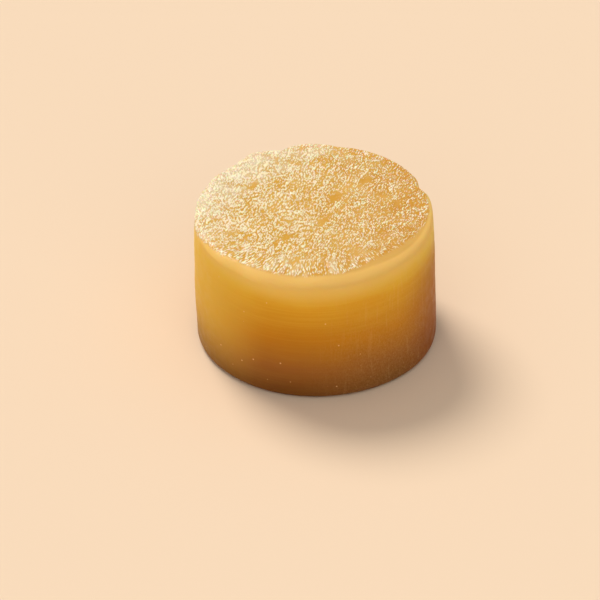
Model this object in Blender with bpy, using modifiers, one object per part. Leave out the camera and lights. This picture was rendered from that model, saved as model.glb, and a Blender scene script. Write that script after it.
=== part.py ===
"""Simmered daikon radish: one thick, peeled round, standing on its lower cut face.

The round is a single solid. A turned profile gives the flat base with its softened
corner, the slightly flared side, the pared rim and the low swell of the top face. The
turned mesh is then given what a cook's knife and an hour in broth leave behind: the rim
is pared wider on one side than on the other, the upper cut isn't square to the root, the
outline is out of round with a few nicks, and the top face is gently uneven.

Metres, +Z up, -Y to the front. The origin is the middle of the flat base.
"""

import math

import bpy
from mathutils import Vector, noise

# Driving dimensions, in metres
BASE_DIAMETER = 0.0660
TOP_DIAMETER = 0.0646
HEIGHT = 0.0387  # at the middle of the top face's edge plane
BASE_CORNER = 0.0016  # radius of the softened corner at the base
SIDE_BULGE = 0.0003  # the side's swell at mid-height
TOP_SWELL = 0.0004  # rise of the top face's middle above its edge

# The pared rim, in metres and degrees
PARED_MOST = 0.0039  # how far in from the side the rim is pared at PARED_BEARING
PARED_LEAST = 0.0010  # and how far opposite it
PARED_BEARING = -88.0
PARED_FOCUS = 3  # how closely the wide paring keeps to its bearing
PARED_STEEPNESS = 0.75  # drop of the pared rim over its width
PARED_START = 22.0  # slope of the pared rim where it leaves the top face

# What keeps the round from being a true cylinder
TOP_SLOPE = (0.013, 0.045)  # rise of the upper cut per metre along X and along Y
LEAN = (-0.0010, 0.0002)  # how far the top is carried sideways from the base
OUT_OF_ROUND = (  # lobes, share of the radius, bearing of a lobe in degrees
    (2, 0.0040, 20.0),
    (3, 0.0030, 100.0),
    (5, 0.0018, 40.0),
)
RIM_NICKS = (  # bearing and half-width in degrees, depth in metres; a negative one stands out
    (21.0, 4.5, 0.0012),
    (44.0, 8.0, -0.0004),
    (77.0, 5.0, 0.0005),
    (107.5, 5.5, 0.0015),
    (121.0, 6.0, -0.0006),
    (134.0, 6.0, 0.0005),
    (162.0, 7.0, -0.0003),
    (228.0, 7.0, 0.0005),
    (301.0, 9.0, 0.0004),
)
TOP_RELIEF = 0.00045  # height of the soft waves on the top face
TOP_WAVE = 0.0110  # distance between those waves
SIDE_RELIEF = 0.00022  # depth of the peeling knife's long flats
SIDE_WAVE = 0.0140  # width of those flats

# Fineness of the turned mesh
TURN_STEPS = 90
CORNER_POINTS = 3
SIDE_POINTS = 8
PARED_POINTS = 4
FACE_RINGS = 6

COLLECTION_NAME = "daikon_radish"
NODE_NAME = "daikon_round"
FLESH_COLOUR = (0.63, 0.30, 0.06, 1.0)


def clear_scene():
    """Removes every object of the file this script is run in."""
    for obj in list(bpy.data.objects):
        bpy.data.objects.remove(obj, do_unlink=True)


def make_collection(name):
    collection = bpy.data.collections.new(name)
    bpy.context.scene.collection.children.link(collection)
    return collection


def simmered_flesh():
    """Amber, faintly wet flesh of a radish simmered in broth."""
    material = bpy.data.materials.new("simmered_flesh")
    material.use_nodes = True
    shader = material.node_tree.nodes["Principled BSDF"]
    shader.inputs["Base Color"].default_value = FLESH_COLOUR
    shader.inputs["Roughness"].default_value = 0.38
    shader.inputs["Metallic"].default_value = 0.0
    shader.inputs["Subsurface Weight"].default_value = 0.6
    shader.inputs["Subsurface Scale"].default_value = 0.004
    material.diffuse_color = FLESH_COLOUR
    return material


def side_radius(height):
    """Radius of the side at a height: a straight flare to the base and a slight swell."""
    share = height / HEIGHT
    straight = (BASE_DIAMETER + (TOP_DIAMETER - BASE_DIAMETER) * share) / 2
    return straight + SIDE_BULGE * math.sin(math.pi * share)


EVEN_WIDTH = (PARED_MOST + PARED_LEAST) / 2
EVEN_DROP = EVEN_WIDTH * PARED_STEEPNESS
FACE_RADIUS = side_radius(HEIGHT) - EVEN_WIDTH
SIDE_TOP = HEIGHT - EVEN_DROP


def round_profile():
    """(radius, height) of the turned outline, from the top's middle down to the base's."""
    points = []
    for ring in range(FACE_RINGS):
        share = ring / FACE_RINGS
        points.append((FACE_RADIUS * share, HEIGHT + TOP_SWELL * (1 - share**2)))
    # The pared rim is an elliptical arc from PARED_START's slope to upright.
    start = math.radians(PARED_START)
    for step in range(PARED_POINTS + 1):
        turn = start + (math.pi / 2 - start) * step / PARED_POINTS
        across = (math.sin(turn) - math.sin(start)) / (1 - math.sin(start))
        down = 1 - math.cos(turn) / math.cos(start)
        points.append((FACE_RADIUS + EVEN_WIDTH * across, HEIGHT - EVEN_DROP * down))
    for step in range(1, SIDE_POINTS):
        height = SIDE_TOP + (BASE_CORNER - SIDE_TOP) * step / SIDE_POINTS
        points.append((side_radius(height), height))
    foot_radius = side_radius(0.0) - BASE_CORNER
    for step in range(CORNER_POINTS + 1):
        turn = math.pi / 2 * step / CORNER_POINTS
        out = BASE_CORNER * math.cos(turn)
        points.append((foot_radius + out, BASE_CORNER * (1 - math.sin(turn))))
    points.append((0.0, 0.0))
    return points


def turned_mesh(name, profile):
    """The profile screwed a full turn about Z, as a closed mesh."""
    outline = bpy.data.meshes.new(name + "_profile")
    corners = [(radius, 0.0, height) for radius, height in profile]
    outline.from_pydata(corners, [(i, i + 1) for i in range(len(corners) - 1)], [])
    turned = bpy.data.objects.new(name + "_profile", outline)
    bpy.context.scene.collection.objects.link(turned)
    screw = turned.modifiers.new("turn", "SCREW")
    screw.axis = "Z"
    screw.angle = math.tau
    screw.steps = TURN_STEPS
    screw.render_steps = TURN_STEPS
    screw.use_merge_vertices = True
    screw.merge_threshold = 0.00001
    graph = bpy.context.evaluated_depsgraph_get()
    mesh = bpy.data.meshes.new_from_object(turned.evaluated_get(graph))
    bpy.data.objects.remove(turned, do_unlink=True)
    bpy.data.meshes.remove(outline)
    mesh.name = name
    return mesh


def out_of_round(bearing):
    """How much wider or narrower than its circle the round is at a bearing."""
    return 1.0 + sum(
        share * math.cos(lobes * (bearing - math.radians(lobe)))
        for lobes, share, lobe in OUT_OF_ROUND
    )


def nick_depth(bearing):
    """How far the rim is cut in at a bearing: the sum of a few smooth bites."""
    depth = 0.0
    for centre, half_width, deepest in RIM_NICKS:
        away = (math.degrees(bearing) - centre + 180.0) % 360.0 - 180.0
        depth += deepest * math.exp(-((away / half_width) ** 2))
    return depth


def pared_width(bearing):
    """How far in from the side the rim is pared at a bearing."""
    facing = (1 + math.cos(bearing - math.radians(PARED_BEARING))) / 2
    return PARED_LEAST + (PARED_MOST - PARED_LEAST) * facing**PARED_FOCUS


def pare(radius, height, bearing):
    """Moves a point of the even profile to where the uneven paring leaves it."""
    width = pared_width(bearing)
    drop = width * PARED_STEEPNESS
    face = FACE_RADIUS + EVEN_WIDTH - width
    if height < SIDE_TOP:
        return radius, height * (HEIGHT - drop) / SIDE_TOP
    if radius < FACE_RADIUS:
        return radius * face / FACE_RADIUS, height
    across = (radius - FACE_RADIUS) / EVEN_WIDTH
    down = (HEIGHT - height) / EVEN_DROP
    return face + width * across, HEIGHT - drop * down


def smooth_share(value, start, end):
    """0 up to start and 1 from end, with a smooth change between."""
    share = min(1.0, max(0.0, (value - start) / (end - start)))
    return share * share * (3 - 2 * share)


def soften(mesh):
    """Gives the turned mesh its uneven rim, outline, upper cut, faces and lean."""
    for vertex in mesh.vertices:
        x, y, z = vertex.co
        bearing = math.atan2(y, x)
        radius, height = pare(math.hypot(x, y), z, bearing)
        near_top = smooth_share(height, HEIGHT - 3 * EVEN_DROP, HEIGHT)
        rise = smooth_share(height, BASE_CORNER, HEIGHT)
        near_rim = smooth_share(radius, 0.0, side_radius(height)) ** 3
        radius *= out_of_round(bearing)
        radius -= nick_depth(bearing) * near_rim * near_top
        x = radius * math.cos(bearing)
        y = radius * math.sin(bearing)
        flat = noise.noise(Vector((x, y, height)) / SIDE_WAVE) * SIDE_RELIEF
        x += flat * math.cos(bearing) * near_rim * rise
        y += flat * math.sin(bearing) * near_rim * rise
        wave = noise.noise(Vector((x, y, 0.0)) / TOP_WAVE) * TOP_RELIEF * near_top
        tilt = (TOP_SLOPE[0] * x + TOP_SLOPE[1] * y) * rise
        lean_x, lean_y = (shift * height / HEIGHT for shift in LEAN)
        vertex.co = (x + lean_x, y + lean_y, height + wave + tilt)


def centre_on_origin(mesh):
    """Moves the mesh sideways until its bounding box is centred on the Z axis."""
    low = Vector(map(min, zip(*(vertex.co for vertex in mesh.vertices))))
    high = Vector(map(max, zip(*(vertex.co for vertex in mesh.vertices))))
    middle = (low + high) / 2
    for vertex in mesh.vertices:
        vertex.co.x -= middle.x
        vertex.co.y -= middle.y


def daikon_round(collection, material):
    """The one solid: a turned, then softened, round of radish."""
    mesh = turned_mesh(NODE_NAME, round_profile())
    soften(mesh)
    centre_on_origin(mesh)
    mesh.shade_smooth()
    mesh.set_sharp_from_angle(angle=math.radians(40.0))
    mesh.materials.append(material)
    body = bpy.data.objects.new(NODE_NAME, mesh)
    collection.objects.link(body)


def main():
    clear_scene()
    collection = make_collection(COLLECTION_NAME)
    daikon_round(collection, simmered_flesh())


main()
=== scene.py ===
"""Simmered daikon radish: the looks of one thick peeled round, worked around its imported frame.

The round is one closed surface in four patches that share their edges: the granular upper
cut, the pared rim, the peeled side with the foot, and the lower cut. Every patch is a
function of bearing and of the way along the turned outline. Its points first lie on an even
turned round, and one function then carries them to where the uneven paring, the slanting
cut and the lean of the real thing leave them.
"""

import math

import bpy
import numpy as np
from bpy.props import FloatProperty, FloatVectorProperty, PointerProperty
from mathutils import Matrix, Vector


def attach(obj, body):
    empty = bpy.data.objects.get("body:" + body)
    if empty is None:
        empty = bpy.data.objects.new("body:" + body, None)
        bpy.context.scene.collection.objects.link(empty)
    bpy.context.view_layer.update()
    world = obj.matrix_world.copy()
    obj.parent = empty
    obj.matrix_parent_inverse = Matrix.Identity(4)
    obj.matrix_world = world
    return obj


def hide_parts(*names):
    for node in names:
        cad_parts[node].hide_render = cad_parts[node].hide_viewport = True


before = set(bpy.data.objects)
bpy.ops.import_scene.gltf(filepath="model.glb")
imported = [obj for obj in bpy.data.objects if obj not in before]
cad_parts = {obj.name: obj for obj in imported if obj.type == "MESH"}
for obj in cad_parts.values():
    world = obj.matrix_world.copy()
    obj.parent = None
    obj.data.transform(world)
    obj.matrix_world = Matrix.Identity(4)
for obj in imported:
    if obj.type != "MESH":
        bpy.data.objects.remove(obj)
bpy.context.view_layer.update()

bl_info = {
    "name": "Simmered daikon radish",
    "version": (1, 0, 0),
    "blender": (4, 5, 0),
    "location": "3D View > Sidebar > Daikon",
    "description": "Makes a thick peeled round of simmered daikon radish and its studio",
    "category": "Add Mesh",
}

CAD_NODE = "daikon_round"
BODY = "root"
MM = 0.001


def linear(code, alpha=True):
    """An sRGB hex colour as linear numbers: the sRGB curve undone, channel by channel."""
    share = np.array([int(code[i : i + 2], 16) for i in (0, 2, 4)]) / 255
    bent = np.where(share <= 0.04045, share / 12.92, ((share + 0.055) / 1.055) ** 2.4)
    return tuple(float(c) for c in bent) + ((1.0,) if alpha else ())


def length(name, text, default_mm, low_mm=0.0, high_mm=120.0):
    """A length property that is given in millimetres and kept in metres."""
    return FloatProperty(
        name=name,
        description=text,
        default=default_mm * MM,
        min=low_mm * MM,
        max=high_mm * MM,
        subtype="DISTANCE",
        unit="LENGTH",
        precision=5,
    )


def colour(name, text, code):
    """A colour property whose default is an sRGB hex colour."""
    return FloatVectorProperty(
        name=name,
        description=text,
        default=linear(code),
        size=4,
        min=0.0,
        max=1.0,
        subtype="COLOR",
    )


class RoundSizes(bpy.types.PropertyGroup):
    """Sizes of the round, as it was cut, pared and simmered."""

    base_across: length("Base across", "Width of the lower cut", 66.0)
    top_across: length("Top across", "Width of the round at its upper cut", 64.6)
    height: length("Height", "Height at the middle of the upper cut's plane", 38.7)
    foot: length("Foot corner", "Radius of the softened corner at the base", 1.6)
    pared_most: length("Widest paring", "Paring where the knife took most", 3.9)
    pared_least: length("Narrowest paring", "Paring where the knife took least", 1.0)
    grain_long: length("Granule length", "Length of a torn granule on the cut", 1.7)
    grain_wide: length("Granule width", "Width of a torn granule on the cut", 0.80)
    grain_high: length("Granule height", "How far a granule stands up", 0.20)
    ridge_high: length("Ridge height", "Height of the radial ridges near the rim", 0.22)
    peel_deep: length("Peeling mark depth", "Depth of the peeling knife's marks", 0.035)


class FleshColours(bpy.types.PropertyGroup):
    """Colours of the simmered flesh."""

    # The side's gradient: brown at the foot partly from broth and partly painted shade, pale under
    # the rim partly painted light
    upper: colour("Upper side", "Side just under the pared rim", "E9BD44")
    high: colour("High side", "Side at three quarters of its height", "DB9E22")
    middle: colour("Middle side", "Side at mid-height", "C17C12")
    lower: colour("Lower side", "Side at a quarter of its height", "9C5F22")
    foot: colour("Foot", "Side at the foot", "6B3E14")
    # Painted shade on the right of the side
    painted_shade_right: colour("Soaked side", "Where the right side has soaked in more broth", "924509")
    # Painted light on the left of the side
    painted_light_left: colour("Yellow side", "Where the left side has stayed paler and yellower", "EBBC46")
    pared: colour("Pared rim", "The smooth pared rim", "E9BB66")
    lip: colour("Lip", "Smooth strip between the torn cut and the pared rim", "D6A452")
    hollow: colour("Hollows", "Hollows between the torn strokes", "D59B2A")
    # Hollows towards the right, darker and more orange
    right_hollow: colour("Riper hollows", "Hollows where more broth has soaked in", "CF9027")
    # Pale strokes: partly the pulp's own colour, partly painted glints
    pulp: colour("Pulp", "Torn strokes of pulp on the cut", "FFEAC2")
    # Painted sheen: pale haze towards the far left of the cut and on the ridge tops
    bloom: colour("Bloom", "Cloudy patches on the cut", "EAD8B8")
    speck: colour("Specks", "Tiny pale pores on the side", "EDBE78")


class StudioSettings(bpy.types.PropertyGroup):
    """The floor, the lights and the camera."""

    floor: colour("Floor", "Matte floor", "ECD0B1")
    room: colour("Room", "Colour of the room behind the floor", "F9DCBC")
    camera_far: length("Camera distance", "Camera to its target", 922.5, 100, 5000)
    camera_up: FloatProperty(
        name="Camera elevation",
        description="Angle of the camera above the horizon",
        default=math.radians(35.5),
        subtype="ANGLE",
        unit="ROTATION",
    )


# What keeps the round from being a true cylinder. Lengths in metres, bearings in degrees.
SIDE_BULGE = 0.0003  # swell of the side at mid-height
TOP_SWELL = 0.0004  # swell of the upper cut at its middle
PARED_BEARING = -88.0  # where the rim is pared widest
PARED_FOCUS = 3  # how quickly the paring narrows away from there
PARED_STEEPNESS = 0.75  # drop of the pared rim for each unit of its width
PARED_START = 22.0  # slope at which the pared rim leaves the upper cut
TOP_SLOPE = (0.013, 0.045)  # rise of the upper cut for each unit along x and y
TOP_DEPTH = 5.5 * MM  # how far down from the upper cut its unevenness fades out
LEAN = (-0.0010, 0.0002)  # how far the top stands from over the base, along x and y
# Lobes round the outline: their count, their share of the radius, and a lobe's bearing
OUT_OF_ROUND = ((2, 0.0040, 20.0), (3, 0.0030, 100.0), (5, 0.0018, 40.0))
# Nicks in the rim, or bulges where the depth is below 0: bearing, half-width and depth
RIM_NICKS = (
    (21.0, 4.5, 0.0012),
    (44.0, 8.0, -0.0004),
    (77.0, 5.0, 0.0005),
    (107.5, 5.5, 0.0015),
    (121.0, 6.0, -0.0006),
    (134.0, 6.0, 0.0005),
    (162.0, 7.0, -0.0003),
    (228.0, 7.0, 0.0005),
    (301.0, 9.0, 0.0004),
)
# Smooth spots on the upper cut: x, y, half-length and half-width in mm
SMOOTH_SPOTS = (
    (5.0, 6.5, 3.6, 1.5),
    (1.5, -4.5, 2.6, 1.2),
    (22.0, 4.0, 2.4, 1.2),
    (-17.5, 12.5, 2.6, 1.1),
    (-9.0, -12.0, 2.2, 1.2),
    (13.0, 14.0, 2.2, 1.0),
)
SPOT_TURN = -18.0  # their bearing, counted from the main bearing of the granules
SPOT_WOBBLE, SPOT_WOBBLE_SIZE = 0.5, 1.1 * MM
STROKE_ANGLE = 68.0  # bearing that most torn granules lie along
CROSS_ANGLE = 112.0  # and the bearing of the rest
# How far the torn face reaches past the border of the flat cut, and where it differs:
# bearing, half-width, extra reach
TORN_REACH = 0.0003
TORN_BELLS = ((182.0, 24.0, 0.0028), (318.0, 27.0, -0.0022), (95.0, 62.0, 0.0024))

# Relief of the upper cut, each with the size of its patches
WAVE_SIZE, WAVE_HIGH = 11 * MM, 0.40 * MM  # low waves from edge to edge
BEND_SIZE, BEND_FAR = 4.5 * MM, 0.9 * MM  # bends in the rows of granules
CHOICE_SIZE = 7 * MM  # where the granules of one bearing or the other win
THIN_SIZE = 2.6 * MM  # where granules stand lower
RAGGED_SIZE, RAGGED_FAR = 1.5 * MM, 0.75 * MM  # ragged border of the torn face
RAGGED_SOFT = 0.3 * MM  # half the width over which that border fades
LIP_WIDE = 0.9 * MM  # smooth strip outside that border
RIDGES = 40  # radial ridges round the rim, if they were evenly spaced
RIDGE_BEND_SIZE, RIDGE_BEND = 6 * MM, 4.5  # how far they wander, as an angle of their wave
RIDGE_GAP_SIZE = 4 * MM  # where ridges are missing
SHEEN_TOWARDS = (-0.75, 0.66)  # direction in which the painted sheen thickens, along x and y
SHEEN_SIZE = 3.4 * MM

# Relief of the side: how many marks go round, how tall each is, and its depth. The knife's
# level lines are drawn somewhat coarser than real, so that they show.
LINES_AROUND, LINES_TALL = 10, 1.1 * MM
LINE_BENDS_AROUND, LINE_BENDS_TALL, LINE_BEND = 8, 9 * MM, 0.6
FLATS_AROUND, FLATS_TALL, FLATS_DEEP = 14, 15 * MM, 0.22 * MM
PITS_AROUND, PITS_TALL, PITS_DEEP = 70, 3 * MM, 0.12 * MM

# Patterns of the flesh: sizes in mm along x, y and z, or along and across a stroke. The
# strokes, crumbs and milky grain are drawn coarser than the flesh's real cells, which are
# 0.1 to 0.2 mm wide, so that they show from across a table.
GRADIENT_DRIFT = (14, 14, 9)  # where the side's gradient lies higher or lower
KNIFE_LINES = (26, 26, 0.7)
MILKY_GRAIN = (0.4, 0.4, 0.55)
FIBRES = (0.9, 0.9, 11)
LONE_PORES = 3.2
CROWDED_PORES = 1.0
PALE_PATCHES = (6, 6, 6)  # where the cut's hollows are paler
THINNED_PATCHES = (5, 5, 5)  # where the cross strokes are left out
MAIN_STROKE = (1.8, 0.54)
CROSS_STROKE = (1.4, 0.54)
FANNED_STROKE = (1.9, 0.58)
STREAKS = (5.0, 1.6)  # where strokes crowd together
CRUMBS = (0.5, 0.5, 0.5)  # what makes their outlines uneven
SHAKE_SIZE = (1.4, 1.4, 1.4)
WET_PATCHES = (2.5, 2.5, 2.5)  # where the surface is more or less glossy
SOFT_RELIEF = (0.9, 0.9, 0.7)  # low bumps all over, under the strokes
SHAKE_FAR = 0.45 * MM  # how far soft noise shakes the strokes
UNROLLED = 6 * MM  # how far down the side the strokes go on
STROKE_HIGH = 0.15 * MM  # height of the finest relief

LATTICE = 64  # cells after which the noise repeats, where it needn't fit round a circle

# Fineness of the mesh
TOP_CELLS = 216  # cells along one side of the square that makes the upper cut
RIM_ROWS = 14
SIDE_ROWS = 52
FOOT_ROWS = 5

# Studio
FLOOR_REACH = 6.0  # from the middle to each edge, in metres
FLOOR_GAP = 0.05 * MM  # keeps the floor and the lower cut out of one plane
FILL_COLOUR, FILL_POWER = "F1F5FA", 0.49  # soft light from all round
CAMERA_TARGET = Vector((-4.4, 0.0, 9.34)) * MM
CAMERA_LENS, CAMERA_SENSOR = 200.0, 36.0  # focal length and sensor width in mm


def smooth(value, start, end):
    """0 up to start, 1 from end, and between them 3s^2 - 2s^3 of the share s."""
    share = np.clip((value - start) / (end - start), 0.0, 1.0)
    return share * share * (3.0 - 2.0 * share)


def lattice(x, y, seed, around=LATTICE):
    """Soft noise from -1 to 1: seeded numbers on a unit lattice, blended by smoothsteps.

    The x axis repeats after a given count of cells, so it can run round a circle."""
    table = np.random.default_rng(seed).uniform(-1.0, 1.0, (around, LATTICE))
    column = np.floor(x).astype(int)
    row = np.floor(y).astype(int)
    across = smooth(x - column, 0.0, 1.0)
    up = smooth(y - row, 0.0, 1.0)

    def at(i, j):
        """The numbers at the lattice points i to the right and j up."""
        return table[(column + i) % around, (row + j) % LATTICE]

    near = at(0, 0) * (1 - across) + at(1, 0) * across
    far = at(0, 1) * (1 - across) + at(1, 1) * across
    return near * (1 - up) + far * up


def layered(x, y, seed, around=LATTICE, layers=3):
    """Lattice noise added to itself at doubled fineness and halved strength.

    The sum is divided so that it stays near -1 to 1."""
    total = 0.0
    for layer in range(layers):
        scale = 2**layer
        total = total + lattice(x * scale, y * scale, seed + layer, around * scale) / scale
    return total / 1.6


def patches(x, y, size, seed):
    """Layered noise over the level plane, with patches of the given size."""
    return layered(x / size, y / size, seed)


def domes(x, y, seed):
    """Close-packed domes from 0 to 1, one round each seeded point of a jittered lattice.

    With a the distance to the nearest point and b to the next, the dome is
    1 - (2a / (a + b))^2 times that point's own strength, so it is 0 where two meet."""
    cells = 256
    random = np.random.default_rng(seed)
    jitter = random.uniform(0.12, 0.88, (cells, cells, 2))
    strength = random.uniform(0.3, 1.0, (cells, cells))
    column = np.floor(x).astype(int)
    row = np.floor(y).astype(int)
    nearest = np.full(x.shape, 9.0)
    second = np.full(x.shape, 9.0)
    own = np.zeros(x.shape)
    for i in (-1, 0, 1):
        for j in (-1, 0, 1):
            place = ((column + i) % cells, (row + j) % cells)
            away = np.hypot(
                x - column - i - jitter[place + (0,)], y - row - j - jitter[place + (1,)]
            )
            closer = away < nearest
            second = np.where(closer, nearest, np.minimum(second, away))
            own = np.where(closer, strength[place], own)
            nearest = np.where(closer, away, nearest)
    return own * (1.0 - (2.0 * nearest / (nearest + second)) ** 2)


def granules(x, y, sizes, seed):
    """Relief of a torn cut face, 0 in the hollows to 1 on the tops, at points in metres.

    Two layers of domes, each stretched along its own bearing, on a plane that soft noise
    has bent. Soft noise also chooses between them and thins them out here and there."""
    bend_x = x + BEND_FAR * patches(x, y, BEND_SIZE, seed + 10)
    bend_y = y + BEND_FAR * patches(x, y, BEND_SIZE, seed + 20)
    made = []
    for angle, own_seed in ((STROKE_ANGLE, seed + 30), (CROSS_ANGLE, seed + 31)):
        turn = math.radians(angle)
        along = (bend_x * math.cos(turn) + bend_y * math.sin(turn)) / sizes.grain_long
        across = (bend_y * math.cos(turn) - bend_x * math.sin(turn)) / sizes.grain_wide
        made.append(domes(along, across, own_seed))
    choice = smooth(patches(x, y, CHOICE_SIZE, seed + 40), -0.25, 0.45)
    height = made[0] * (1 - choice) + made[1] * choice
    thin = 0.62 + 0.38 * smooth(patches(x, y, THIN_SIZE, seed + 50), -0.5, 0.3)
    return np.clip(height * thin, 0.0, 1.0)


def smooth_spots(x, y):
    """1 inside the smooth spots of the upper cut and 0 outside: the highest of soft ovals."""
    turn = math.radians(STROKE_ANGLE + SPOT_TURN)
    wobble = SPOT_WOBBLE * lattice(x / SPOT_WOBBLE_SIZE, y / SPOT_WOBBLE_SIZE, 77)
    inside = np.zeros(x.shape)
    for spot_x, spot_y, half_long, half_wide in SMOOTH_SPOTS:
        away_x = x / MM - spot_x
        away_y = y / MM - spot_y
        along = (away_x * math.cos(turn) + away_y * math.sin(turn)) / half_long
        across = (away_y * math.cos(turn) - away_x * math.sin(turn)) / half_wide
        inside = np.maximum(inside, 1 - smooth(np.hypot(along, across) + wobble, 0.3, 1.4))
    return inside


def pared_width(bearing, sizes):
    """How far in from the side the rim is pared: wide at PARED_BEARING, narrow opposite."""
    facing = (1 + np.cos(bearing - math.radians(PARED_BEARING))) / 2
    return sizes.pared_least + (sizes.pared_most - sizes.pared_least) * facing**PARED_FOCUS


def side_radius(height, sizes):
    """Radius of the side at a height: a straight flare to the base and a slight swell."""
    share = height / sizes.height
    straight = (sizes.base_across + (sizes.top_across - sizes.base_across) * share) / 2
    return straight + SIDE_BULGE * np.sin(math.pi * share)


def out_of_round(bearing):
    """Radius at a bearing over the even one: 1 plus a few lobes, each a cosine."""
    total = 1.0
    for lobes, share, lobe in OUT_OF_ROUND:
        total = total + share * np.cos(lobes * (bearing - math.radians(lobe)))
    return total


def bells(bearing, places):
    """Sum of bell curves round the circle, each given by its bearing, half-width and height."""
    total = 0.0
    for centre, half_width, height in places:
        away = (np.degrees(bearing) - centre + 180.0) % 360.0 - 180.0
        total = total + height * np.exp(-((away / half_width) ** 2))
    return total


def carried(radius, height, bearing, sizes):
    """Points of the even round, carried to where cutting and simmering leave them.

    The outline is scaled out of round, bitten at the rim and leaned sideways, and the
    height is raised along the upper cut's slope, all fading out towards the base."""
    near_top = smooth(height, sizes.height - TOP_DEPTH, sizes.height)
    rise = smooth(height, sizes.foot, sizes.height)
    near_rim = smooth(radius, 0.0, side_radius(height, sizes)) ** 3
    reach = radius * out_of_round(bearing) - bells(bearing, RIM_NICKS) * near_rim * near_top
    x = reach * np.cos(bearing)
    y = reach * np.sin(bearing)
    tilt = (TOP_SLOPE[0] * x + TOP_SLOPE[1] * y) * rise
    share = height / sizes.height
    return x + LEAN[0] * share, y + LEAN[1] * share, height + tilt


def disc_grid(cells):
    """A square grid squeezed into a disc so that its border points are evenly spaced.

    Returns each point's radius share and bearing, the triangles as grid indices, and the
    border's indices in order, starting at bearing -45 degrees and turning left. For a
    point (a, b) of the square, the radius is the larger of |a| and |b|, and the bearing
    runs evenly along the side of the square ring that the point is on."""
    axis = np.linspace(-1.0, 1.0, cells + 1)
    a, b = np.meshgrid(axis, axis, indexing="ij")
    share = np.maximum(np.abs(a), np.abs(b))
    wide = np.abs(a) >= np.abs(b)
    with np.errstate(divide="ignore", invalid="ignore"):
        flat = np.where(a > 0, 0.0, math.pi) + math.pi / 4 * b / np.where(a == 0, 1, a)
        tall = np.where(b > 0, 0.5, 1.5) * math.pi - math.pi / 4 * a / np.where(b == 0, 1, b)
    bearing = np.where(wide, flat, tall)
    index = np.arange((cells + 1) ** 2).reshape(cells + 1, cells + 1)
    p, q = index[:-1, :-1].ravel(), index[1:, :-1].ravel()
    r, s = index[1:, 1:].ravel(), index[:-1, 1:].ravel()
    # The cells' diagonals run outwards from the middle in each quarter.
    quarter = ((a[:-1, :-1] + 0.5 / cells) * (b[:-1, :-1] + 0.5 / cells) > 0).ravel()
    first = np.where(quarter[:, None], np.c_[p, q, r], np.c_[p, q, s])
    other = np.where(quarter[:, None], np.c_[p, r, s], np.c_[q, r, s])
    border = np.concatenate(
        [index[-1, :-1], index[:0:-1, -1], index[0, :0:-1], index[:-1, 0]]
    )
    return share.ravel(), bearing.ravel(), np.vstack([first, other]), border


def band(upper, lower):
    """Triangles between two rings of the same count, the upper one first, facing outwards."""
    upper_next, lower_next = np.roll(upper, -1), np.roll(lower, -1)
    return np.vstack(
        [np.c_[upper, lower, lower_next], np.c_[upper, lower_next, upper_next]]
    )


def halving_band(upper, lower):
    """Triangles between a ring and one of half its count: three to each coarse step."""
    start, middle, end = upper[::2], upper[1::2], np.roll(upper[::2], -1)
    lower_next = np.roll(lower, -1)
    return np.vstack(
        [
            np.c_[start, lower, middle],
            np.c_[middle, lower, lower_next],
            np.c_[middle, lower_next, end],
        ]
    )


def rim_outline(rows, bearing, sizes):
    """Radius and height of the pared rim, one row of points per step, at each bearing.

    It is an elliptical arc from PARED_START's slope at the upper cut to upright at the
    side. Its width is the local paring and its drop a fixed share of that."""
    start = math.radians(PARED_START)
    turn = start + (math.pi / 2 - start) * rows[:, None]
    across = (np.sin(turn) - math.sin(start)) / (1 - math.sin(start))
    down = 1 - np.cos(turn) / math.cos(start)
    width = pared_width(bearing, sizes)
    edge = side_radius(sizes.height, sizes)
    return edge - width * (1 - across), sizes.height - width * PARED_STEEPNESS * down


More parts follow.
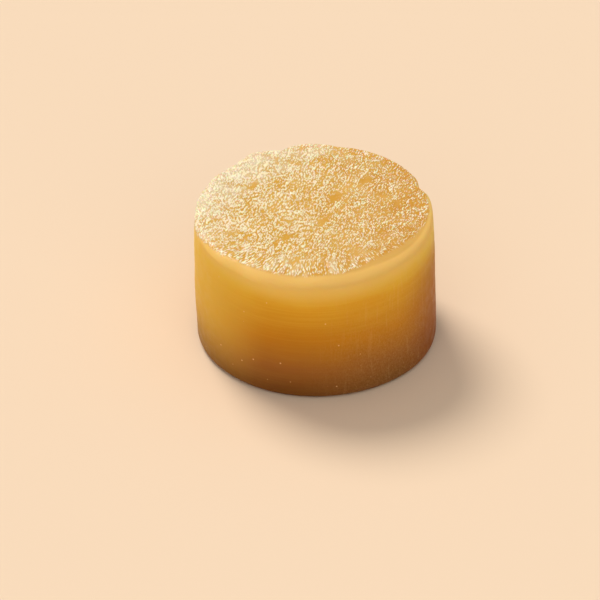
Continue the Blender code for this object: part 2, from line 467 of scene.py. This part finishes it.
def round_points(sizes):
    """Radius, height and bearing of all points of the even round, and its triangles.

    Also gives how many points each of the four patches adds, in order. The upper cut is a
    flat disc with a slight swell, the rim an elliptical arc, the side even rows from there
    to the foot's quarter circle, and the lower cut a flat disc of half the fineness."""
    parts = []
    share, bearing, top_faces, border = disc_grid(TOP_CELLS)
    width = pared_width(bearing, sizes)
    edge = side_radius(sizes.height, sizes)
    parts.append((share * (edge - width), sizes.height + TOP_SWELL * (1 - share**2), bearing))
    faces = [top_faces]
    count = len(share)
    ring = border
    around = bearing[border]

    # Fine rows over the pared rim
    rows = np.arange(1, RIM_ROWS + 1) / RIM_ROWS
    radius, height = rim_outline(rows, around, sizes)
    parts.append((radius.ravel(), height.ravel(), np.tile(around, RIM_ROWS)))
    for row in range(RIM_ROWS):
        below = count + row * len(around) + np.arange(len(around))
        faces.append(band(ring, below))
        ring = below
    count += RIM_ROWS * len(around)

    # Coarser rows down the side and round the foot
    around = around[::2]
    side_top = sizes.height - pared_width(around, sizes) * PARED_STEEPNESS
    rows = np.arange(1, SIDE_ROWS + 1)[:, None] / SIDE_ROWS
    side_height = side_top + (sizes.foot - side_top) * rows
    turn = math.pi / 2 * np.arange(1, FOOT_ROWS + 1)[:, None] / FOOT_ROWS
    foot_radius = side_radius(0.0, sizes) - sizes.foot * (1 - np.cos(turn))
    foot_height = sizes.foot * (1 - np.sin(turn))
    ones = np.ones_like(around)
    radius = np.vstack([side_radius(side_height, sizes), foot_radius * ones])
    height = np.vstack([side_height, foot_height * ones])
    parts.append(
        (radius.ravel(), height.ravel(), np.tile(around, SIDE_ROWS + FOOT_ROWS))
    )
    for row in range(SIDE_ROWS + FOOT_ROWS):
        below = count + row * len(around) + np.arange(len(around))
        faces.append(halving_band(ring, below) if row == 0 else band(ring, below))
        ring = below
    count += (SIDE_ROWS + FOOT_ROWS) * len(around)

    # The lower cut shares the foot's last ring, so its own border points are dropped
    share, bearing, base_faces, border = disc_grid(TOP_CELLS // 2)
    inner = np.ones(len(share), bool)
    inner[border] = False
    number = np.empty(len(share), int)
    number[inner] = count + np.arange(inner.sum())
    number[border] = ring
    flat_radius = side_radius(0.0, sizes) - sizes.foot
    parts.append((share[inner] * flat_radius, np.zeros(inner.sum()), bearing[inner]))
    faces.append(number[base_faces][:, ::-1])
    columns = [np.concatenate([part[i] for part in parts]) for i in range(3)]
    return (*columns, np.vstack(faces), [len(part[0]) for part in parts])


def cut_masks(radius, height, bearing, x, y, on_base, sizes):
    """Shares of the torn face, the lower cut included, the pared colour and the smooth lip.

    Each is a smoothstep of how far a point lies outwards and down from the border of the
    flat upper cut. Soft noise makes the torn face's border ragged."""
    width = pared_width(bearing, sizes)
    border = side_radius(sizes.height, sizes) - width
    over = radius - border + np.maximum(sizes.height - height, 0.0)
    reach = TORN_REACH + bells(bearing, TORN_BELLS)
    ragged = over + RAGGED_FAR * patches(x, y, RAGGED_SIZE, 5) - reach
    upper_cut = (1 - smooth(ragged, -RAGGED_SOFT, RAGGED_SOFT)) * ~on_base
    # The pared colour reaches down over the crease where rim meets side: partly the rim's own
    # colour, partly painted light lifting the crease's shade
    pared = (1 - smooth(over, 0.8 * width, 3.2 * width)) * ~on_base
    lip = (1 - smooth(over, 0.0, LIP_WIDE)) * ~on_base
    return upper_cut, np.maximum(upper_cut, on_base), pared, lip


def radial_ridges(ring_share, bearing, x, y):
    """The ridges near the rim of the upper cut, and their hollows: a cosine of the bearing.

    Soft noise bends them and leaves gaps. They lie in one ring and are strongest in front."""
    wave = np.cos(bearing * RIDGES + RIDGE_BEND * patches(x, y, RIDGE_BEND_SIZE, 8))
    zone = smooth(ring_share, 0.6, 0.78) * (1 - smooth(ring_share, 0.88, 0.97))
    zone = zone * (0.15 + 0.85 * smooth(-np.sin(bearing), 0.3, 0.9))
    zone = zone * smooth(patches(x, y, RIDGE_GAP_SIZE, 9), -0.4, 0.5)
    return (0.5 + 0.5 * wave) * zone, zone * (0.5 - 0.5 * wave)


def peeling_push(height, bearing, sizes):
    """How far the peeled side stands out: fine level lines and broad flats, less pits.

    The lines and flats are soft noise of bearing and height, the lines' levels bent by
    more of it, and the pits are the tops of domes, in the lower part alone."""
    bend = lattice(bearing * LINE_BENDS_AROUND / math.tau, height / LINE_BENDS_TALL, 12, 8)
    level = height / LINES_TALL + LINE_BEND * bend
    lines = lattice(bearing * LINES_AROUND / math.tau, level, 13, LINES_AROUND)
    lines = lines * (0.3 + 0.7 * smooth(height, 0.45 * sizes.height, 0.8 * sizes.height))
    around = bearing * FLATS_AROUND / math.tau
    flats = layered(around, height / FLATS_TALL, 14, FLATS_AROUND)
    pits = domes(bearing * PITS_AROUND / math.tau, height / PITS_TALL, 15)
    pits = smooth(pits, 0.8, 0.97) * smooth(sizes.height * 0.6 - height, 0.0, 0.02)
    push = lines * sizes.peel_deep + flats * FLATS_DEEP - pits * PITS_DEEP
    return push * smooth(height, 0.0, 0.004)


def round_surface(sizes):
    """The finished round: points, triangles and the attributes that its material reads.

    Low waves, ridges and granules lift the upper cut, granules dent the lower cut, and the
    peeling marks push the side in and out. The whole is then centred on the origin in x and y."""
    radius, height, bearing, faces, counts = round_points(sizes)
    on_base = np.repeat(np.arange(len(counts)), counts) == len(counts) - 1
    x, y, z = carried(radius, height, bearing, sizes)
    edge = side_radius(sizes.height, sizes)
    ring_share = np.clip(radius / edge, 0, 1)
    upper_cut, cut, pared, lip = cut_masks(radius, height, bearing, x, y, on_base, sizes)
    ridges, furrows = radial_ridges(ring_share, bearing, x, y)
    spots = smooth_spots(x, y) * ~on_base
    pulp = granules(x, y, sizes, 100) * (1 - 0.9 * spots) * cut * (1 - 0.45 * furrows)

    waves = WAVE_HIGH * patches(x, y, WAVE_SIZE, 3)
    lift = waves * smooth(height, sizes.height - TOP_DEPTH, sizes.height)
    lift = lift + (ridges * sizes.ridge_high + pulp * sizes.grain_high) * upper_cut
    dents = (1 - pulp) * sizes.grain_high * smooth(edge - radius, 0.0012, 0.003)
    z = np.where(on_base, dents, z + lift)

    sideways = smooth(radius, 0.75 * edge, 0.97 * edge) * (1 - upper_cut) * ~on_base
    push = peeling_push(height, bearing, sizes) * sideways
    x = x + push * np.cos(bearing)
    y = y + push * np.sin(bearing)

    # Painted sheen: a pale haze for more light, broken up by soft noise, most of it towards the
    # far left of the upper cut, and painted highlights on the ridge tops
    towards = (SHEEN_TOWARDS[0] * x + SHEEN_TOWARDS[1] * y) / edge
    clouds = towards * ring_share + 0.35 * patches(x, y, SHEEN_SIZE, 21)
    bloom = smooth(clouds, 0.2, 1.0) * ~on_base * (1 - 0.6 * spots)
    bloom = np.maximum(bloom, ridges * 0.55) * cut

    points = np.c_[x, y, z]
    points[:, :2] -= (points[:, :2].min(0) + points[:, :2].max(0)) / 2
    looks = {"cut": cut, "pulp": pulp, "bloom": bloom, "calm": spots, "pared": pared, "lip": lip}
    return points, faces, looks


def make_mesh(name, points, faces, attributes):
    """A smooth triangle mesh from whole arrays, with one number per point per attribute."""
    mesh = bpy.data.meshes.new(name)
    mesh.vertices.add(len(points))
    mesh.vertices.foreach_set("co", points.astype(np.float32).ravel())
    mesh.loops.add(faces.size)
    mesh.loops.foreach_set("vertex_index", faces.astype(np.int32).ravel())
    mesh.polygons.add(len(faces))
    mesh.polygons.foreach_set("loop_start", np.arange(0, faces.size, 3, dtype=np.int32))
    for title, values in attributes.items():
        layer = mesh.attributes.new(title, "FLOAT", "POINT")
        layer.data.foreach_set("value", values.astype(np.float32))
    mesh.update(calc_edges=True)
    mesh.shade_smooth()
    return mesh


def add(tree, kind, settings=None, sockets=None):
    """Adds a node. Settings are its properties, with "stops" filling a colour ramp, and
    sockets maps an input's name or number to its value or to the output that feeds it."""
    made = tree.nodes.new(kind)
    for name, value in (settings or {}).items():
        if name == "stops":
            ramp = made.color_ramp
            for _ in range(len(value) - len(ramp.elements)):
                ramp.elements.new(1.0)
            for element, (place, paint) in zip(ramp.elements, value):
                element.position = place
                element.color = paint
        else:
            setattr(made, name, value)
    for name, value in (sockets or {}).items():
        if isinstance(value, bpy.types.NodeSocket):
            tree.links.new(value, made.inputs[name])
        else:
            made.inputs[name].default_value = value
    return made


def simmered_flesh(colours, sizes):
    """Daikon flesh simmered in broth: translucent, amber and wet.

    Light enters the flesh and comes back out, so shadows on it are soft and warm. The torn
    cut shows pale strokes over amber hollows, and a thin film of broth makes them glint. The
    strokes are partly pulp and partly painted glints, and a painted sheen makes the cut paler
    towards the far left. The peeled side is smooth, pale under the rim and brown at the foot:
    partly broth soaked in, and partly painted light under the rim and painted shade at the
    foot. Painted shade darkens it to the right and painted light makes it yellower to the
    left. Faint knife lines, fibres, milky grain and pale pores show on it."""
    material = bpy.data.materials.new("simmered_daikon_flesh")
    material.use_nodes = True
    tree = material.node_tree
    tree.nodes.clear()

    def mix(share, one, two):
        """From one colour, at share 0, to another, at share 1."""
        sockets = {0: share, 6: one, 7: two}
        return add(tree, "ShaderNodeMix", {"data_type": "RGBA"}, sockets).outputs[2]

    def reckon(operation, one, two=0.0, three=0.0):
        """Arithmetic on up to three numbers."""
        sockets = {0: one, 1: two, 2: three}
        return add(tree, "ShaderNodeMath", {"operation": operation}, sockets).outputs[0]

    def times(one, two):
        """The product of two numbers."""
        return reckon("MULTIPLY", one, two)

    def tint(under, mask, paint, strength=1.0):
        """The colour under, moved towards the paint by the mask times the strength."""
        return mix(times(mask, strength), under, paint)

    def reckon_all(operation, one, two=(0.0, 0.0, 0.0), three=(0.0, 0.0, 0.0), share=1.0):
        """Arithmetic on all three of a vector's numbers; only SCALE uses the share."""
        sockets = {0: one, 1: two, 2: three, 3: share}
        return add(tree, "ShaderNodeVectorMath", {"operation": operation}, sockets).outputs[0]

    def fit(value, low, high, to_low=0.0, to_high=1.0):
        """From to_low, where the value is low, to to_high, where it is high: a smoothstep."""
        sockets = {0: value, 1: low, 2: high, 3: to_low, 4: to_high}
        settings = {"interpolation_type": "SMOOTHSTEP"}
        return add(tree, "ShaderNodeMapRange", settings, sockets).outputs[0]

    def across(start_mm, end_mm, to_low=0.0, to_high=1.0):
        """A smoothstep along x, between two places in mm."""
        return fit(split[0], start_mm * MM, end_mm * MM, to_low, to_high)

    def upwards(start_mm, end_mm, to_low=0.0, to_high=1.0):
        """A smoothstep of the height, between two heights in mm."""
        return fit(split[2], start_mm * MM, end_mm * MM, to_low, to_high)

    def scaled(size_mm):
        """Object coordinates in which one unit is size_mm along each axis."""
        settings = {"vector_type": "POINT"}
        sockets = {"Vector": place, "Scale": [1 / (mm * MM) for mm in size_mm]}
        return add(tree, "ShaderNodeMapping", settings, sockets).outputs[0]

    def noise_node(vector, detail=2.0, roughness=0.5, dimensions="3D"):
        """Soft noise at a vector, one unit to a patch."""
        sockets = {"Vector": vector, "Scale": 1.0, "Detail": detail, "Roughness": roughness}
        return add(tree, "ShaderNodeTexNoise", {"noise_dimensions": dimensions}, sockets)

    def noise(size_mm, detail=2.0, roughness=0.5):
        """Soft noise from 0 to 1, whose patches have the given size along each axis."""
        return noise_node(scaled(size_mm), detail, roughness).outputs[0]

    def pores(size_mm, radius, rarity):
        """1 at some cell centres of a Voronoi lattice, where a random colour allows it."""
        sockets = {"Vector": scaled([size_mm] * 3), "Scale": 1.0, "Randomness": 1.0}
        cells = add(tree, "ShaderNodeTexVoronoi", None, sockets)
        chance = add(tree, "ShaderNodeSeparateColor", None, {0: cells.outputs["Color"]})
        some = reckon("GREATER_THAN", chance.outputs[0], rarity)
        return times(fit(cells.outputs["Distance"], radius, radius * 0.4), some)

    def turned_plane(angle, long_mm, wide_mm):
        """Level coordinates along a bearing, whose units are the given length and width."""
        sockets = {
            "Vector": shaken,
            "Rotation": (0.0, 0.0, math.radians(angle)),
            "Scale": (long_mm * MM, wide_mm * MM, 1.0),
        }
        return add(tree, "ShaderNodeMapping", {"vector_type": "TEXTURE"}, sockets).outputs[0]

    def cells_of(vector):
        """1 at one point of each unit cell, falling evenly with distance from it."""
        settings = {"voronoi_dimensions": "2D", "feature": "F1", "distance": "MANHATTAN"}
        cells = add(tree, "ShaderNodeTexVoronoi", settings, {"Vector": vector, "Scale": 1.0})
        return reckon("SUBTRACT", 1.0, cells.outputs["Distance"])

    def read(name):
        """A number that the mesh carries at each point."""
        return add(tree, "ShaderNodeAttribute", {"attribute_name": name}).outputs["Fac"]

    place = add(tree, "ShaderNodeTexCoord").outputs["Object"]
    split = add(tree, "ShaderNodeSeparateXYZ", None, {0: place}).outputs
    cut, pulp, bloom, calm = read("cut"), read("pulp"), read("bloom"), read("calm")

    # The side: a gradient up its height, drifting a little, brown at the foot partly from broth
    #     soaked in and partly as painted shade, and pale under the rim partly as painted light.
    #     Level knife lines on it show best near the top
    drift = times(reckon("SUBTRACT", noise(GRADIENT_DRIFT, 3), 0.5), 0.10)
    share = reckon("ADD", reckon("DIVIDE", split[2], sizes.height), drift)
    stops = [
        (0.0, colours.foot),
        (0.25, colours.lower),
        (0.5, colours.middle),
        (0.77, colours.high),
        (0.90, colours.upper),
    ]
    side = add(tree, "ShaderNodeValToRGB", {"stops": stops}, {0: share}).outputs[0]
    lines = times(fit(noise(KNIFE_LINES, 2, 0.6), 0.4, 0.8), upwards(14, 32, 0.15, 1.0))
    side = tint(side, lines, colours.upper, strength=0.22)

    # Painted shade darkens the right edge, most of all low down, and painted light makes the left
    # paler and yellower
    side = tint(side, times(across(21, 34), upwards(37, 24)), colours.painted_shade_right, strength=0.60)
    # Painted light: the left of the side made paler and yellower
    side = tint(side, times(across(-12, -31), upwards(-5, 21)), colours.painted_light_left, strength=0.7)

    # Milky grain, upright fibres and, low down, crowded pores show to the right, but not at
    # the very edge. Lone pores lie all over
    right = times(across(-8, 20), across(33, 27))
    milky = times(fit(noise(MILKY_GRAIN, 2, 0.6), 0.30, 0.80), right)
    side = tint(side, milky, colours.speck, strength=upwards(36, 12, 0.07, 0.15))
    fibres = times(fit(noise(FIBRES, 1), 0.58, 0.70), right)
    side = tint(side, fibres, colours.speck, strength=0.07)
    crowded = times(pores(CROWDED_PORES, radius=0.22, rarity=0.5), times(upwards(20, 3), right))
    lone = pores(LONE_PORES, radius=0.10, rarity=0.55)
    pore = reckon("MAXIMUM", lone, times(crowded, 0.30))
    side = tint(side, pore, colours.speck, strength=0.75)
    side = mix(read("pared"), side, colours.pared)
    side = mix(read("lip"), side, colours.lip)

    # Hollows of the cut: amber, more orange to the right, with paler patches and painted sheen
    warm = mix(across(-14, 26), colours.hollow, colours.right_hollow)
    warm = tint(warm, fit(noise(PALE_PATCHES, 3), 0.35, 0.7), colours.pared, strength=0.4)
    warm = tint(warm, bloom, colours.bloom, strength=0.7)

    # Level coordinates for the strokes, shaken by soft noise. Points below the cut's plane
    # are moved outwards, so that the pattern goes over the rim
    drop = reckon("MINIMUM", reckon("SUBTRACT", sizes.height, split[2]), UNROLLED)
    outwards = reckon("ADD", 1.0, reckon("DIVIDE", drop, sizes.base_across / 2))
    spread = reckon_all("SCALE", place, share=outwards)
    shake = noise_node(scaled(SHAKE_SIZE)).outputs["Color"]
    shake = reckon_all("SUBTRACT", shake, (0.5, 0.5, 0.5))
    shaken = reckon_all("MULTIPLY_ADD", shake, (SHAKE_FAR, SHAKE_FAR, 0.0), spread)
    shaken = reckon_all("MULTIPLY", shaken, (1.0, 1.0, 0.0))

    # Strokes along two bearings, those of the second left out here and there
    main_strokes = cells_of(turned_plane(STROKE_ANGLE, *MAIN_STROKE))
    cross_strokes = cells_of(turned_plane(CROSS_ANGLE, *CROSS_STROKE))
    left_out = fit(noise(THINNED_PATCHES, 1), 0.40, 0.60, 0.14, 0.0)
    level = reckon("MAXIMUM", main_strokes, reckon("SUBTRACT", cross_strokes, left_out))

    # Towards the front rim the strokes fan out and run straight to the edge
    flat = add(tree, "ShaderNodeSeparateXYZ", None, {0: shaken}).outputs
    front = times(flat[1], -1.0)
    middle = add(tree, "ShaderNodeVectorMath", {"operation": "LENGTH"}, {0: shaken}).outputs[1]
    around = times(reckon("ARCTAN2", flat[0], front), sizes.top_across / 2)
    fan = add(tree, "ShaderNodeCombineXYZ", None, {0: middle, 1: around}).outputs[0]
    fan = reckon_all("MULTIPLY", fan, [1 / (mm * MM) for mm in FANNED_STROKE] + [0.0])
    near = times(fit(middle, 19 * MM, 27 * MM), fit(front, 8 * MM, 22 * MM))
    fanned = reckon("ADD", cells_of(fan), 0.06)
    level = add(tree, "ShaderNodeMix", None, {0: near, 2: level, 3: fanned}).outputs[0]

    # What widens the strokes, each with its weight. To the right they are narrower
    streak = noise_node(turned_plane(STROKE_ANGLE, *STREAKS), dimensions="2D").outputs[0]
    crumb = noise(CRUMBS, 1)
    for source, gain in ((streak, 0.55), (crumb, 0.35), (pulp, 0.18), (bloom, 0.08), (calm, -0.3)):
        level = reckon("MULTIPLY_ADD", source, gain, level)
    level = reckon("SUBTRACT", level, across(-20, 28, 0.0, 0.10))
    # Pale strokes, partly the pulp's own colour and partly painted glints of the broth film
    tops = fit(level, 0.96, 1.24)
    paint = mix(cut, side, mix(tops, warm, colours.pulp))

    # Wetness: the film is thick on the cut and thinner down the side
    gloss = fit(noise(WET_PATCHES), 0.3, 0.7, 0.40, 0.56)
    film = fit(cut, 0.0, 1.0, 0.06, 0.35)
    relief = reckon("ADD", times(tops, cut), times(noise(SOFT_RELIEF, 3), 0.30))
    sockets = {"Height": relief, "Strength": 1.0, "Distance": STROKE_HIGH}
    bump = add(tree, "ShaderNodeBump", None, sockets).outputs[0]
    sockets = {
        "Base Color": paint,
        "Roughness": gloss,
        "Normal": bump,
        "Coat Normal": bump,
        "Metallic": 0.0,
        "IOR": 1.38,
        "Specular IOR Level": 0.12,
        "Subsurface Weight": 0.6,
        "Subsurface Radius": (1.0, 0.5, 0.18),
        "Subsurface Scale": 3.2 * MM,
        "Coat Weight": film,
        "Coat Roughness": 0.16,
        "Coat IOR": 1.5,
    }
    settings = {"subsurface_method": "RANDOM_WALK"}
    shader = add(tree, "ShaderNodeBsdfPrincipled", settings, sockets)
    add(tree, "ShaderNodeOutputMaterial", None, {"Surface": shader.outputs[0]})
    return material


def studio_board(settings):
    """Matt painted board: an even, pale surface with no gloss, so nothing mirrors in it."""
    material = bpy.data.materials.new("matt_painted_board")
    material.use_nodes = True
    shader = material.node_tree.nodes["Principled BSDF"]
    shader.inputs["Base Color"].default_value = settings.floor
    shader.inputs["Roughness"].default_value = 0.9
    shader.inputs["Specular IOR Level"].default_value = 0.05
    return material


def sun(name, bearing, elevation, spread, power, paint):
    """A far light aimed at the origin from a bearing and elevation, softened by its spread.

    All three are in degrees."""
    light = bpy.data.lights.new(name, "SUN")
    light.energy = power
    light.angle = math.radians(spread)
    light.color = linear(paint, alpha=False)
    lamp = bpy.data.objects.new(name, light)
    bpy.context.scene.collection.objects.link(lamp)
    level, up = math.radians(bearing), math.radians(elevation)
    source = Vector(
        (math.cos(level) * math.cos(up), math.sin(level) * math.cos(up), math.sin(up))
    )
    lamp.rotation_mode = "QUATERNION"
    lamp.rotation_quaternion = source.to_track_quat("Z", "Y")
    lamp.location = source
    return lamp


class DAIKON_OT_round(bpy.types.Operator):
    """Makes the simmered round and hides the plain solid that it stands for"""

    bl_idname = "daikon.round"
    bl_label = "Simmered round"

    def execute(self, context):
        scene = context.scene
        points, faces, attributes = round_surface(scene.daikon_sizes)
        mesh = make_mesh("simmered_round", points, faces, attributes)
        mesh.materials.append(simmered_flesh(scene.daikon_colours, scene.daikon_sizes))
        piece = bpy.data.objects.new("simmered_round", mesh)
        scene.collection.objects.link(piece)
        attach(piece, BODY)
        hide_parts(CAD_NODE)
        return {"FINISHED"}


class DAIKON_OT_studio(bpy.types.Operator):
    """Makes the floor, the lights and the camera"""

    bl_idname = "daikon.studio"
    bl_label = "Studio"

    def execute(self, context):
        scene = context.scene
        settings = scene.daikon_studio
        mesh = bpy.data.meshes.new("studio_floor")
        signs = ((-1, -1), (1, -1), (1, 1), (-1, 1))
        corners = [(x * FLOOR_REACH, y * FLOOR_REACH, -FLOOR_GAP) for x, y in signs]
        mesh.from_pydata(corners, [], [(0, 1, 2, 3)])
        mesh.materials.append(studio_board(settings))
        floor = bpy.data.objects.new("studio_floor", mesh)
        scene.collection.objects.link(floor)

        world = bpy.data.worlds.new("studio_room")
        world.use_nodes = True
        tree = world.node_tree
        tree.nodes.clear()
        seen = add(tree, "ShaderNodeLightPath").outputs["Is Camera Ray"]
        sockets = {0: linear(FILL_COLOUR), 1: FILL_POWER}
        fill = add(tree, "ShaderNodeBackground", None, sockets).outputs[0]
        wall = add(tree, "ShaderNodeBackground", None, {0: settings.room, 1: 1.0}).outputs[0]
        shown = add(tree, "ShaderNodeMixShader", None, {0: seen, 1: fill, 2: wall})
        add(tree, "ShaderNodeOutputWorld", None, {0: shown.outputs[0]})
        scene.world = world

        sun("key_light", 124.0, 50.0, spread=26.0, power=2.35, paint="FFFCF8")
        front = sun("front_light", -88.0, 22.0, spread=80.0, power=1.05, paint="FBFDFF")
        front.visible_glossy = False

        camera = bpy.data.cameras.new("camera")
        camera.lens = CAMERA_LENS
        camera.sensor_width = CAMERA_SENSOR
        camera.clip_start = 0.05
        camera.clip_end = 50.0
        holder = bpy.data.objects.new("camera", camera)
        scene.collection.objects.link(holder)
        up = settings.camera_up
        back = Vector((0.0, -math.cos(up), math.sin(up)))
        holder.rotation_mode = "QUATERNION"
        holder.rotation_quaternion = back.to_track_quat("Z", "Y")
        holder.location = CAMERA_TARGET + back * settings.camera_far
        scene.camera = holder
        scene.view_settings.view_transform = "Standard"
        return {"FINISHED"}


class DAIKON_PT_panel(bpy.types.Panel):
    """Lists the steps that make the radish and its studio"""

    bl_idname = "DAIKON_PT_panel"
    bl_label = "Simmered daikon"
    bl_space_type = "VIEW_3D"
    bl_region_type = "UI"
    bl_category = "Daikon"

    def draw(self, context):
        layout = self.layout
        for settings in ("daikon_sizes", "daikon_colours", "daikon_studio"):
            group = getattr(context.scene, settings)
            box = layout.box()
            for name in group.__annotations__:
                box.prop(group, name)
        for step in STEPS:
            layout.operator(step)


STEPS = ("daikon.round", "daikon.studio")
CLASSES = (
    RoundSizes,
    FleshColours,
    StudioSettings,
    DAIKON_OT_round,
    DAIKON_OT_studio,
    DAIKON_PT_panel,
)
GROUPS = {
    "daikon_sizes": RoundSizes,
    "daikon_colours": FleshColours,
    "daikon_studio": StudioSettings,
}


def register():
    """Adds the classes, and the settings to every scene."""
    for item in CLASSES:
        bpy.utils.register_class(item)
    for name, group in GROUPS.items():
        setattr(bpy.types.Scene, name, PointerProperty(type=group))


def unregister():
    """Takes them away again."""
    for name in GROUPS:
        delattr(bpy.types.Scene, name)
    for item in reversed(CLASSES):
        bpy.utils.unregister_class(item)


def main():
    """Makes the round and its studio."""
    register()
    bpy.ops.daikon.round()
    bpy.ops.daikon.studio()


if __name__ == "__main__":
    main()
